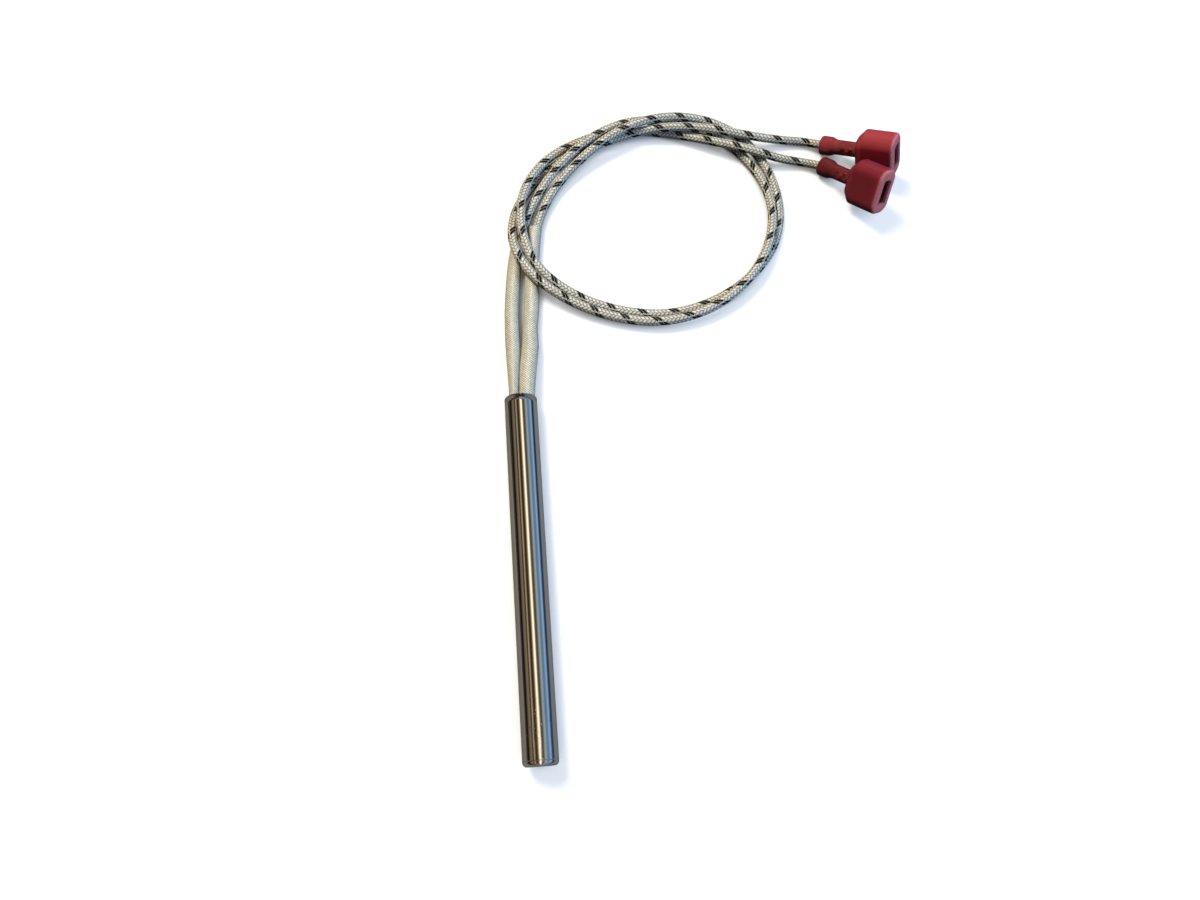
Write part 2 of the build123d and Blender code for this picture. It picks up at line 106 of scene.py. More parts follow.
# Lead routes between the sheath and the terminals, chosen along the loop
lead_route = {
    "right": [
        (0.0030, 0.0665, 0.0034), (0.0043, 0.0795, 0.0023), (0.0052, 0.0920, 0.0021),
        (0.0063, 0.1040, 0.0021), (0.0094, 0.1165, 0.0021), (0.0153, 0.1268, 0.0024),
        (0.0242, 0.1355, 0.0041), (0.0363, 0.1436, 0.0062), (0.0507, 0.1486, 0.0060),
        (0.0656, 0.1488, 0.0032), (0.0778, 0.1424, 0.0014), (0.0850, 0.1295, 0.0014),
        (0.0872, 0.1143, 0.0014), (0.0840, 0.0998, 0.0014), (0.0746, 0.0883, 0.0014),
        (0.0615, 0.0803, 0.0014), (0.0470, 0.0769, 0.0014), (0.0320, 0.0793, 0.0015),
        (0.0179, 0.0853, 0.0028), (0.0066, 0.0949, 0.0058), (0.0028, 0.1085, 0.0061),
        (0.0040, 0.1230, 0.0053), (0.0117, 0.1360, 0.0034), (0.0243, 0.1444, 0.0015),
        (0.0385, 0.1477, 0.0014), (0.0530, 0.1452, 0.0014), (0.0675, 0.1388, 0.0039),
        (0.0805, 0.1332, 0.0051), (0.0893, 0.1306, 0.0029), (0.0968, 0.1297, 0.0016),
    ],
    "left": [
        (-0.0020, 0.0665, 0.0034), (-0.0013, 0.0790, 0.0023), (-0.0004, 0.0905, 0.0021),
        (0.0009, 0.1015, 0.0021), (0.0042, 0.1128, 0.0021), (0.0090, 0.1238, 0.0025),
        (0.0177, 0.1346, 0.0042), (0.0293, 0.1437, 0.0053), (0.0427, 0.1495, 0.0040),
        (0.0570, 0.1491, 0.0014), (0.0701, 0.1426, 0.0014), (0.0800, 0.1310, 0.0015),
        (0.0843, 0.1166, 0.0028), (0.0827, 0.1020, 0.0042), (0.0756, 0.0884, 0.0045),
        (0.0626, 0.0779, 0.0034), (0.0475, 0.0738, 0.0029), (0.0329, 0.0758, 0.0025),
        (0.0179, 0.0821, 0.0033), (0.0055, 0.0914, 0.0058), (-0.0004, 0.1040, 0.0056),
        (0.0013, 0.1184, 0.0024), (0.0093, 0.1308, 0.0014), (0.0215, 0.1392, 0.0014),
        (0.0365, 0.1442, 0.0020), (0.0515, 0.1452, 0.0049), (0.0665, 0.1430, 0.0055),
        (0.0805, 0.1392, 0.0045), (0.0905, 0.1385, 0.0023), (0.0985, 0.1380, 0.0014),
    ],
}

# Braid of the leads, and the finer one of their sleeves
lead_braid = {"carriers": 8, "float": 2, "lay": 0.0099, "relief": 0.00011}
sleeve_braid = {"carriers": 16, "float": 1, "lay": 0.0124, "relief": 0.00009}
braid_phase = {"right": 0.0, "left": 0.35}
valley_floor = 0.02
float_arch = 0.6
fibres_across = 5
left_strand_number = 500.0

# Black tracers of the leads: how many strands, how far turned, and where a strand shows black
tracer_carriers = 2
tracer_turn = 0.06
tracer_middle = 0.45
tracer_half_width = 0.395
tracer_half_run = 1.6

# Leads widen over the first run past their start, and narrow again over the last one before their end
lead_spread = 1.11
lead_spread_start = (0.060, 0.080)
lead_spread_end = (0.024, 0.012)

# Fineness of the meshes
lead_segments = 48
lead_step = 0.00025
sleeve_segments = 96
sleeve_step = 0.0003
spline_steps = 48
sheath_segments = 256
wall_rings = 60
mouth_rings = 12
disc_edge_rings = 16
dish_rings = 24


class Nodes:
    """Short calls for making the nodes of one material."""

    def __init__(self, tree):
        self.tree = tree

    def new(self, kind, **settings):
        node = self.tree.nodes.new(kind)
        for key, value in settings.items():
            setattr(node, key, value)
        return node

    def put(self, socket, value):
        if isinstance(value, bpy.types.NodeSocket):
            self.tree.links.new(value, socket)
        else:
            socket.default_value = value

    def math(self, operation, *values):
        node = self.new("ShaderNodeMath", operation=operation)
        for socket, value in zip(node.inputs, values):
            self.put(socket, value)
        return node.outputs[0]

    def smooth(self, value, low, high, start=0.0, end=1.0):
        """Smooth step of a value between two bounds."""
        node = self.new("ShaderNodeMapRange", interpolation_type="SMOOTHSTEP")
        for socket, given in zip(node.inputs, (value, low, high, start, end)):
            self.put(socket, given)
        return node.outputs[0]

    def fall(self, value, low, high):
        """Smooth step down from 1 to 0."""
        return self.smooth(value, low, high, 1.0, 0.0)

    def scaled(self, value, gain, offset):
        """A value times a gain, plus an offset."""
        return self.math("MULTIPLY_ADD", value, gain, offset)

    def mix(self, factor, first, second, blend="MIX"):
        node = self.new("ShaderNodeMix", data_type="RGBA", blend_type=blend)
        self.put(node.inputs[0], factor)
        self.put(node.inputs[6], first)
        self.put(node.inputs[7], second)
        return node.outputs[2]

    def noise(self, vector, scale, detail=2.0, roughness=0.5):
        node = self.new("ShaderNodeTexNoise")
        self.put(node.inputs["Vector"], vector)
        node.inputs["Scale"].default_value = scale
        node.inputs["Detail"].default_value = detail
        node.inputs["Roughness"].default_value = roughness
        return node.outputs["Fac"]

    def mapped(self, vector, scale):
        """A vector multiplied along its three axes."""
        node = self.new("ShaderNodeVectorMath", operation="MULTIPLY")
        self.put(node.inputs[0], vector)
        node.inputs[1].default_value = scale
        return node.outputs[0]

    def bump(self, height, distance, strength=1.0, normal=None):
        node = self.new("ShaderNodeBump")
        self.put(node.inputs["Height"], height)
        node.inputs["Strength"].default_value = strength
        node.inputs["Distance"].default_value = distance
        if normal is not None:
            self.put(node.inputs["Normal"], normal)
        return node.outputs[0]


def new_material(name, **constants):
    """A material with one Principled shader, its constant inputs set, and short calls for its nodes."""
    material = bpy.data.materials.new(name)
    material.use_nodes = True
    tree = material.node_tree
    shader = tree.nodes["Principled BSDF"]
    for key, value in constants.items():
        shader.inputs[key.replace("_", " ")].default_value = value
    return material, Nodes(tree), shader


def shade(obj, material):
    """Give an object one material all over."""
    obj.data.materials.clear()
    obj.data.materials.append(material)


def colour_of(tone, gain=1.0):
    """Colour with alpha from a tone, brightened by a gain."""
    return (*(gain * part for part in tone), 1)


def place_of(kit):
    """Place on the part, in metres."""
    return kit.new("ShaderNodeTexCoord").outputs["Object"]


def braid_nodes(kit, carriers, float_length):
    """Braid pattern from the uv map: the strand on top, and what the black tracers need."""
    uv = kit.new("ShaderNodeUVMap", uv_map="braid").outputs[0]
    split = kit.new("ShaderNodeSeparateXYZ")
    kit.put(split.inputs[0], uv)
    u, v = split.outputs[0], split.outputs[1]
    a = kit.math("MULTIPLY", kit.math("SUBTRACT", u, v), carriers)
    b = kit.math("MULTIPLY", kit.math("ADD", u, v), carriers)
    ia, ib = kit.math("FLOOR", a), kit.math("FLOOR", b)
    fa, fb = kit.math("FRACT", a), kit.math("FRACT", b)
    period = 2 * float_length
    cell = kit.math("WRAP", kit.math("ADD", ia, ib), period, 0)
    right_on = kit.math("LESS_THAN", cell, float_length - 0.5)
    left_on = kit.math("SUBTRACT", 1.0, right_on)

    def on_top(right, left):
        """The first value where a right-hand strand is on top, and the second one elsewhere."""
        right, left = kit.math("MULTIPLY", right, right_on), kit.math("MULTIPLY", left, left_on)
        return kit.math("ADD", right, left)

    across = on_top(fa, fb)
    run_right = kit.math("WRAP", kit.math("ADD", ia, b), period, 0)
    run_left = kit.math("SUBTRACT", kit.math("WRAP", kit.math("ADD", a, ib), period, 0), float_length)
    run = on_top(run_right, run_left)
    side = kit.scaled(across, 2.0, -1.0)
    crown = kit.math("SUBTRACT", 1.0, kit.math("MULTIPLY", side, side))
    reach = kit.scaled(run, 2.0 / float_length, -1.0)
    drop = kit.math("MULTIPLY", kit.math("MULTIPLY", reach, reach), float_arch)
    arch = kit.math("SUBTRACT", 1.0, drop)
    relief = kit.math("MULTIPLY", kit.math("SQRT", kit.math("MAXIMUM", crown, valley_floor)), arch)
    return {
        "strand": on_top(ia, kit.math("ADD", ib, left_strand_number)), "stitch": on_top(ib, ia),
        "across": across, "relief": relief, "carrier": kit.math("WRAP", ia, carriers, 0),
        "right_across": fa, "right_run": run_right,
    }


def braid_material(name, weave, cream, painted_valley_shade, roughness, coat, tracers=0):
    """Glass yarn braided in two families of strands, the first carriers of one of them in black, with
    painted shade in the valleys between strands.
    """
    material, kit, shader = new_material(
        name, Roughness=roughness, Specular_IOR_Level=0.04, Coat_Weight=coat, Coat_Roughness=0.25)
    float_length = weave["float"]
    braid = braid_nodes(kit, weave["carriers"], float_length)
    cell = kit.new("ShaderNodeCombineXYZ")
    kit.put(cell.inputs[0], braid["strand"])
    kit.put(cell.inputs[1], kit.math("FLOOR", kit.math("DIVIDE", braid["stitch"], float_length)))
    cell_noise = kit.new("ShaderNodeTexWhiteNoise", noise_dimensions="2D")
    kit.put(cell_noise.inputs["Vector"], cell.outputs[0])
    place = place_of(kit)
    patch = kit.noise(place, scale=60.0, detail=3.0)
    # Painted shade: the valleys between strands are coloured darker than the crowns, following the
    # strand's relief
    painted_shade_depth = kit.smooth(braid["relief"], 0.34, 0.98)
    bright = kit.scaled(cell_noise.outputs["Value"], gain=0.24, offset=0.86)
    bright = kit.math("MULTIPLY", bright, kit.scaled(patch, gain=0.2, offset=0.9))
    base = kit.mix(painted_shade_depth, colour_of(painted_valley_shade), colour_of(cream))
    base = kit.mix(1.0, base, bright, "MULTIPLY")
    if tracers:
        black = kit.math("LESS_THAN", braid["carrier"], tracers - 0.5)
        off_middle = kit.math("ABSOLUTE", kit.math("SUBTRACT", braid["right_across"], tracer_middle))
        black = kit.math("MULTIPLY", black, kit.math("LESS_THAN", off_middle, tracer_half_width))
        from_top = kit.math("SUBTRACT", braid["right_run"], float_length / 2)
        from_top = kit.math("ABSOLUTE", kit.math("WRAP", from_top, float_length, -float_length))
        black = kit.math("MULTIPLY", black, kit.math("LESS_THAN", from_top, tracer_half_run))
        tracer_tone = kit.mix(painted_shade_depth, (0.002, 0.002, 0.002, 1), (0.006, 0.006, 0.007, 1))
        base = kit.mix(black, base, tracer_tone)
        coated = kit.math("SUBTRACT", 1.0, black)
        kit.put(shader.inputs["Coat Weight"], kit.math("MULTIPLY", coated, coat))
    kit.put(shader.inputs["Base Color"], base)
    fibre = kit.math("SINE", kit.math("MULTIPLY", braid["across"], tau * fibres_across))
    fuzz = kit.noise(place, scale=9000.0)
    height = kit.scaled(fibre, gain=0.12, offset=braid["relief"])
    height = kit.scaled(fuzz, gain=0.25, offset=height)
    normal = kit.bump(height, distance=0.00006, strength=0.6)
    kit.put(shader.inputs["Normal"], normal)
    kit.put(shader.inputs["Coat Normal"], normal)
    return material


def steel_material():
    """Drawn and polished stainless: fine streaks along the tube, small marks towards the closed end."""
    material, kit, shader = new_material("polished_steel", Metallic=1.0)
    place = place_of(kit)
    streak = kit.noise(kit.mapped(place, (1.0, 0.012, 1.0)), scale=5200.0, detail=3.0)
    smear = kit.noise(kit.mapped(place, (1.0, 0.25, 1.0)), scale=420.0, detail=3.0)
    split = kit.new("ShaderNodeSeparateXYZ")
    kit.put(split.inputs[0], place)
    near_end = kit.smooth(split.outputs[1], marks_start_y, marks_full_y)
    duller, brighter = (0.60, 0.585, 0.565, 1), (0.70, 0.69, 0.67, 1)
    kit.put(shader.inputs["Base Color"], kit.mix(smear, duller, brighter))
    rough = kit.scaled(streak, gain=0.07, offset=0.03)
    rough = kit.scaled(smear, gain=0.04, offset=rough)
    rough = kit.scaled(near_end, gain=0.04, offset=rough)
    kit.put(shader.inputs["Roughness"], rough)
    pit = kit.smooth(kit.noise(place, scale=1500.0, roughness=0.6), 0.66, 0.74)
    pit = kit.math("MULTIPLY", pit, near_end)
    wave = kit.noise(kit.mapped(place, (1.0, 0.45, 1.0)), scale=330.0)
    wave = kit.math("MULTIPLY", wave, near_end)
    grain = kit.bump(streak, distance=0.0000012)
    dents = kit.bump(kit.scaled(pit, gain=0.5, offset=wave), distance=0.00005, normal=grain)
    kit.put(shader.inputs["Normal"], dents)
    return material


def terminal_axes(name):
    """Mouth of a terminal's bell and its width, thickness and long directions."""
    mouth, heading, rise, roll = terminal_place[name]
    heading, rise, roll = radians(heading), radians(rise), radians(roll)
    along = Vector((cos(rise) * cos(heading), cos(rise) * sin(heading), sin(rise)))
    level = Vector((-sin(heading), cos(heading), 0))
    width = level * cos(roll) + along.cross(level) * sin(roll)
    return Vector(mouth), width, along.cross(width), along


def nylon_material(name, tones):
    """Red translucent nylon: clear red where it is solid, dark where the folded metal lies behind it;
    each housing's tones also hold painted light and shade.
    """
    material, kit, shader = new_material(
        f"red_nylon_{name}", Subsurface_Weight=0.2, Subsurface_Scale=0.001,
        Subsurface_Radius=(1.0, 0.25, 0.2), Specular_IOR_Level=0.4)
    place = place_of(kit)
    mouth, *axes = terminal_axes(name)
    offset = kit.new("ShaderNodeVectorMath", operation="SUBTRACT")
    kit.put(offset.inputs[0], place)
    offset.inputs[1].default_value = mouth
    own_place = []
    for axis in axes:
        dot = kit.new("ShaderNodeVectorMath", operation="DOT_PRODUCT")
        kit.put(dot.inputs[0], offset.outputs[0])
        dot.inputs[1].default_value = axis
        own_place.append(dot.outputs["Value"])
    x, y, z = own_place

    # Clear nylon, the folded metal behind it, and the bell
    cloud = kit.noise(place, scale=260.0, detail=3.0)
    wobble = kit.scaled(cloud, gain=2 * bound_wobble, offset=-bound_wobble)
    from_middle = kit.math("ADD", kit.math("ABSOLUTE", x), wobble)
    metal = kit.math("MULTIPLY", kit.fall(from_middle, *metal_side), kit.smooth(z, *metal_start))
    metal = kit.math("MULTIPLY", metal, kit.fall(z, *metal_end))
    clear = kit.mix(cloud, colour_of(tones["clear"]), colour_of(tones["clear"], gain=1.25))
    base = kit.mix(kit.math("MULTIPLY", metal, metal_share), clear, colour_of(tones["core"]))
    in_bell = kit.fall(z, *bell_end)
    base = kit.mix(in_bell, base, colour_of(tones["bell"]))

    # Darker neck with streaks drawn out along it: the brass barrel showing through, and painted glints
    neck_tone, glint_tone = (0.10, 0.012, 0.014, 1), (0.30, 0.09, 0.06, 1)
    in_neck = kit.math("MULTIPLY", kit.smooth(z, *neck_start), in_bell)
    drawn_out = kit.new("ShaderNodeCombineXYZ")
    for socket, value in zip(drawn_out.inputs, (x, y, kit.math("MULTIPLY", z, 0.35))):
        kit.put(socket, value)
    glint = kit.smooth(kit.noise(drawn_out.outputs[0], scale=1500.0), 0.54, 0.68)
    base = kit.mix(kit.math("MULTIPLY", in_neck, neck_share), base, neck_tone)
    neck_glint = kit.math("MULTIPLY", in_neck, glint)
    base = kit.mix(kit.math("MULTIPLY", neck_glint, glint_share), base, glint_tone)

    # Speckled rim round the slot, with painted shade next to the opening
    speck = kit.smooth(kit.noise(place, scale=2600.0), 0.45, 0.62)
    rim = kit.mix(speck, colour_of(tones["rim"]), colour_of(tones["rim"], gain=1.5))
    painted_slot_shade = kit.math("MULTIPLY", kit.fall(from_middle, *slot_side),
                       kit.fall(kit.math("ABSOLUTE", y), *slot_edge))
    rim = kit.mix(kit.math("MULTIPLY", painted_slot_shade, slot_share), rim, (0.07, 0.012, 0.018, 1))
    kit.put(shader.inputs["Base Color"], kit.mix(kit.smooth(z, *rim_start), base, rim))

    sheen = kit.noise(place, scale=1200.0)
    kit.put(shader.inputs["Roughness"], kit.scaled(sheen, gain=0.16, offset=0.28))
    ripple = kit.bump(kit.noise(place, scale=380.0), distance=0.00012, strength=0.5)
    fine = kit.noise(place, scale=5000.0)
    kit.put(shader.inputs["Normal"], kit.bump(fine, distance=0.000008, strength=0.6, normal=ripple))
    return material


def plain_material(name, dark, light, roughness, scale, metallic=0.0):
    """Mottled material for a piece that hardly shows: two tones, uneven gloss and a fine grain."""
    material, kit, shader = new_material(name, Metallic=metallic)
    place = place_of(kit)
    mottle = kit.noise(place, scale, detail=4.0, roughness=0.6)
    grain = kit.noise(place, scale * 9)
    kit.put(shader.inputs["Base Color"], kit.mix(mottle, colour_of(dark), colour_of(light)))
    kit.put(shader.inputs["Roughness"], kit.scaled(mottle, gain=0.2, offset=roughness))
    kit.put(shader.inputs["Normal"], kit.bump(grain, distance=0.00001))
    return material


def spline_line(name, route):
    """Points of the smooth line that a lead follows through its route."""
    data = bpy.data.curves.new(f"{name}_line", "CURVE")
    data.dimensions = "3D"
    data.resolution_u = spline_steps
    spline = data.splines.new("NURBS")
    spline.points.add(len(route) - 1)
    for point, place in zip(spline.points, route):
        point.co = (*place, 1)
    spline.order_u = 3
    spline.use_endpoint_u = True
    line = bpy.data.objects.new(f"{name}_line", data)
    mesh = bpy.data.meshes.new_from_object(line)
    points = np.array([vertex.co for vertex in mesh.vertices])
    bpy.data.meshes.remove(mesh)
    bpy.data.objects.remove(line)
    bpy.data.curves.remove(data)
    return points


def evenly_along(points, step):
    """Stations a step apart along a line, and their places."""
    run = np.concatenate([[0], np.cumsum(np.linalg.norm(np.diff(points, axis=0), axis=1))])
    stations = np.linspace(0, run[-1], round(run[-1] / step) + 1)
    return stations, np.column_stack([np.interp(stations, run, points[:, axis]) for axis in range(3)])


def line_frames(places):
    """Upward and sideways directions, square to the line, at each place."""
    tangent = np.gradient(places, axis=0)
    tangent /= np.linalg.norm(tangent, axis=1)[:, None]
    side = np.cross(tangent, (0, 0, 1))
    side /= np.linalg.norm(side, axis=1)[:, None]
    return np.cross(side, tangent), side, tangent


def braid_relief(u, v, carriers, float_length):
    """Height of the strand on top, from 0 in a valley to 1 on a crown, as in braid_nodes."""
    a, b = carriers * (u - v), carriers * (u + v)
    ia, ib = np.floor(a), np.floor(b)
    period = 2 * float_length
    right_on = np.mod(ia + ib, period) < float_length - 0.5
    across = np.where(right_on, a - ia, b - ib)
    run = np.where(right_on, np.mod(ia + b, period), np.mod(a + ib, period) - float_length)
    crown = np.sqrt(np.clip(1 - (2 * across - 1) ** 2, valley_floor, 1))
    return crown * (1 - float_arch * (2 * run / float_length - 1) ** 2)


def new_piece(name, points, faces):
    """Smooth object of one mesh, linked to the scene."""
    mesh = bpy.data.meshes.new(name)
    mesh.from_pydata(points, [], faces)
    mesh.polygons.foreach_set("use_smooth", [True] * len(mesh.polygons))
    mesh.update()
    piece = bpy.data.objects.new(name, mesh)
    bpy.context.scene.collection.objects.link(piece)
    return piece


def grid_mesh(name, vertices, u, v, closed_ends):
    """Mesh of rings of vertices, with a uv map called braid; u and v are given at the rings' corners."""
    rings, around = vertices.shape[:2]
    ring = np.arange(rings - 1)[:, None]
    corner = np.arange(around)[None, :]
    ahead = (corner + 1) % around
    faces = np.stack([
        ring * around + corner, ring * around + ahead,
        (ring + 1) * around + ahead, (ring + 1) * around + corner,
    ], axis=-1).reshape(-1, 4)
    points = vertices.reshape(-1, 3)
    uv = np.stack([
        np.stack([u[:-1, :-1], v[:-1, :-1]], -1), np.stack([u[:-1, 1:], v[:-1, 1:]], -1),
        np.stack([u[1:, 1:], v[1:, 1:]], -1), np.stack([u[1:, :-1], v[1:, :-1]], -1),
    ], axis=2).reshape(-1, 2)
    caps, cap_uv = [], []
    if closed_ends:
        for end, order in ((0, -1), (rings - 1, 1)):
            centre = len(points)
            points = np.vstack([points, vertices[end].mean(axis=0)])
            for k in range(around):
                pair = [end * around + k, end * around + (k + 1) % around]
                caps.append(pair[::order] + [centre])
                cap_uv += [(u[end, k], v[end, k])] * 3
    piece = new_piece(name, points.tolist(), faces.tolist() + caps)
    layer = piece.data.uv_layers.new(name="braid")
    uv = np.vstack([uv, np.array(cap_uv).reshape(-1, 2)])
    layer.data.foreach_set("uv", uv.ravel().astype(np.float32))
    return piece


def ring_angles(count, segments):
    """Angle of each corner of each ring, the first one repeated at the end, as u and theta."""
    u = np.broadcast_to(np.linspace(0, 1, segments + 1), (count, segments + 1))
    return u, u * tau


def make_lead(name, line):
    """Braided lead along its line; returns the piece and the middles of its rings."""
    stations, places = evenly_along(line, lead_step)
    up, side, _ = line_frames(places)
    u, theta = ring_angles(len(places), lead_segments)
    u = u + tracer_turn
    v = np.broadcast_to((stations / lead_braid["lay"])[:, None], u.shape) + braid_phase[name]
    relief = braid_relief(u, v, lead_braid["carriers"], lead_braid["float"])
    radius = lead_diameter / 2 - lead_braid["relief"] * (1 - relief)
    spread_run = [*lead_spread_start, *(stations[-1] - left for left in lead_spread_end)]
    spread = np.interp(stations, spread_run, (1, lead_spread, lead_spread, 1))
    radius, theta, spread = radius[:, :-1, None], theta[:, :-1, None], spread[:, None, None]
    upward = np.cos(theta) * up[:, None]
    sideways = spread * np.sin(theta) * side[:, None]
    vertices = places[:, None] + radius * (upward + sideways)
    return grid_mesh(f"braided_lead_{name}", vertices, u, v, closed_ends=True), places


def make_sleeve(name, line):
    """Woven sleeve over a lead: outer wall, ragged cut end and inner wall, loose away from the mouth."""
    stations, places = evenly_along(line, sleeve_step)
    start = round((sleeve_start_y - lead_start_y) / sleeve_step)
    length = sleeve_length[name]
    count = round(length / sleeve_step)
    stations, places = stations[start:start + count], places[start:start + count]
    up, side, tangent = line_frames(places)
    share = (stations - stations[0]) / length
    width = np.interp(share, *sleeve_width[name])
    height = np.interp(share, *sleeve_height)
    shift = np.interp(share, *sleeve_shift[name])
    middles = places + side * shift[:, None]
    u, theta = ring_angles(count, sleeve_segments)
    v = np.broadcast_to((stations / sleeve_braid["lay"])[:, None], u.shape)
    relief = braid_relief(u, v, sleeve_braid["carriers"], sleeve_braid["float"])
    swell = np.sin(stations / lump_run + lump_phase * side_of[name])[:, None]
    lump = lump_height * swell * np.sin(2 * theta + stations[:, None] / lump_twist)
    sink = sleeve_braid["relief"] * (1 - relief) - lump

    def wall(inset):
        """Rings of one face of the sleeve's wall."""
        across = width[:, None] / 2 - inset - sink
        tall = height[:, None] / 2 - inset - sink
        upward = (np.cos(theta) * tall)[..., None] * up[:, None]
        sideways = (np.sin(theta) * across)[..., None] * side[:, None]
        return middles[:, None] + (upward + sideways)

    outer, inner = wall(0.0), wall(sleeve_wall)
    (coarse, coarse_count, coarse_phase), (fine, fine_count, fine_phase) = ragged_end
    ragged = coarse * np.sin(coarse_count * theta[-1] + coarse_phase)
    ragged = ragged + fine * np.sin(fine_count * theta[-1] + fine_phase * side_of[name])
    lips = [
        (outer[-1] * (1 - inward) + inner[-1] * inward + tangent[-1] * (past + ragged)[:, None])[None]
        for inward, past in sleeve_lips
    ]
    shell = np.concatenate([outer, *lips, inner[::-1], outer[:1]])[:, :-1]
    shell_v = np.concatenate([v, *[v[-1:]] * len(lips), v[::-1], v[:1]])
    shell_u = np.broadcast_to(u[:1], shell_v.shape)
    return grid_mesh(f"woven_sleeve_{name}", shell, shell_u, shell_v, closed_ends=False)


def turned_mesh(name, profile):
    """Skin turned from a profile of (radius, y) about the sheath's axis."""
    theta = np.arange(sheath_segments) * tau / sheath_segments
    radius, y = np.array(profile).T
    vertices = np.stack([
        radius[:, None] * np.sin(theta), np.broadcast_to(y[:, None], (len(y), sheath_segments)),
        axis_height + radius[:, None] * np.cos(theta),
    ], axis=-1)
    faces = []
    for ring in range(len(profile) - 1):
        here, there = ring * sheath_segments, (ring + 1) * sheath_segments
        for k in range(sheath_segments):
            ahead = (k + 1) % sheath_segments
            faces.append((here + k, there + k, there + ahead, here + ahead))
    return new_piece(name, vertices.reshape(-1, 3).tolist(), faces)


def arc(centre, radius, start, end, count):
    """Points of (radius, y) on an arc, its angles in degrees from the outward direction towards +Y."""
    angles = np.radians(np.linspace(start, end, count))
    return [(centre[0] + radius * cos(t), centre[1] + radius * sin(t)) for t in angles]


def dress(piece, material, node):
    """Shade a new piece, ride it on the part's one body and put it in the place of a CAD node."""
    shade(piece, material)
    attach(piece, "root")
    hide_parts(node)


# Sizes read from the frame
low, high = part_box("sheath")
sheath_radius = (high.x - low.x) / 2
axis_height = sheath_radius
mouth_y = high.y
tube_start_y = low.y
closed_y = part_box("end_disc")[0].y
sleeve_start_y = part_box("sleeve_right")[0].y

# Sheath and end disc: their other sizes, and where the small marks of the closed end begin and are full
sheath_wall = 0.0006
mouth_round = 0.00045
mouth_lip = 0.0004
end_disc_round = 0.0012
end_disc_dish = 0.00035
end_disc_dish_radius = 0.00295
dish_centre_share = 0.002
marks_start_y = -0.030
marks_full_y = closed_y + 0.004

# Sleeves by shares of their length: width, height, and shift sideways off the lead's line
sleeve_wall = 0.0003
sleeve_length = {"right": 0.0662, "left": 0.0621}
sleeve_width = {
    "right": (
        (0, 0.14, 0.25, 0.36, 0.47, 0.55, 1),
        (0.0042, 0.0047, 0.0052, 0.0052, 0.0045, 0.0047, 0.0045)),
    "left": ((0, 0.14, 0.25, 0.36, 0.6, 1), (0.0030, 0.0031, 0.0039, 0.0045, 0.0045, 0.0043)),
}
sleeve_height = ((0, 0.1, 1), (0.0040, 0.0040, 0.0038))
sleeve_shift = {
    "right": (
        (0, 0.14, 0.25, 0.36, 0.47, 0.55, 0.8, 1),
        (-0.0002, -0.00015, 0.0001, 0.0005, 0.0001, 0.0003, 0.0001, -0.0005)),
    "left": (
        (0, 0.14, 0.25, 0.36, 0.47, 0.58, 1),
        (0.0001, 0.0002, 0.0004, 0.0004, 0, -0.0003, -0.0002)),
}

# Loose lumps of the sleeves: height, run along the sleeve, its phase, and run of their twist round it
lump_height = 0.00006
lump_run = 0.0061
lump_phase = 1.7
lump_twist = 0.009

# Cut end of the sleeves: height, count and phase of its coarse and fine waves, and rings of the lip,
# each as its share of the wall inwards and its reach past the last full ring
ragged_end = ((0.00022, 5, 1.0), (0.00016, 11, 2.0))
sleeve_lips = ((0.25, 0.00008), (0.5, 0.00012), (0.75, 0.00008))

# Leads and sleeves, each with a cream tone and a darker valley tone that is painted shade between
# strands
lead_look = braid_material(
    "lead_braid", lead_braid, cream=(0.50, 0.46, 0.375), painted_valley_shade=(0.13, 0.115, 0.08),
    roughness=0.6, coat=0.5, tracers=tracer_carriers)
sleeve_look = braid_material(
    "sleeve_braid", sleeve_braid, cream=(0.50, 0.46, 0.355), painted_valley_shade=(0.20, 0.18, 0.125),
    roughness=0.5, coat=0.9)
yarn = bpy.data.collections.new("yarn")
for name, side in side_of.items():
    across = side * lead_offset
    mouth, *_, along = terminal_axes(name)
    route = [(across, lead_start_y, axis_height), (across, lead_turn_y, axis_height)]
    route += lead_route[name] + [mouth + along * lead_entry, mouth + along * insulation_end]
    line = spline_line(name, route)
    lead, path = make_lead(name, line)
    dress(lead, lead_look, f"lead_{name}")
    sleeve = make_sleeve(name, line)
    dress(sleeve, sleeve_look, f"sleeve_{name}")
    yarn.objects.link(lead)
    yarn.objects.link(sleeve)

# Sheath and end disc: finely turned skins of the same form as their nodes
bore_radius = sheath_radius - sheath_wall
lengthwise = np.linspace(tube_start_y, mouth_y - mouth_round, wall_rings)
outer_wall = [(sheath_radius, y) for y in lengthwise]
mouth_centre = (sheath_radius - mouth_round, mouth_y - mouth_round)
mouth_arc = arc(mouth_centre, mouth_round, 0, 90, mouth_rings)
inner_wall = [(bore_radius, y) for y in (mouth_y, mouth_y - mouth_lip, tube_start_y)]
tube = turned_mesh("sheath_skin", outer_wall + mouth_arc + inner_wall + outer_wall[:1])
disc_wall = [(bore_radius, tube_start_y), (sheath_radius, tube_start_y)]
edge_centre = (sheath_radius - end_disc_round, closed_y + end_disc_round)
disc_edge = arc(edge_centre, end_disc_round, 0, -90, disc_edge_rings)
dish = [
    (end_disc_dish_radius * share, closed_y + end_disc_dish * (1 - share**2))
    for share in np.linspace(1, dish_centre_share, dish_rings)
]
disc = turned_mesh("end_disc_skin", disc_wall + disc_edge + dish)
steel = steel_material()
dress(tube, steel, "sheath")
dress(disc, steel, "end_disc")

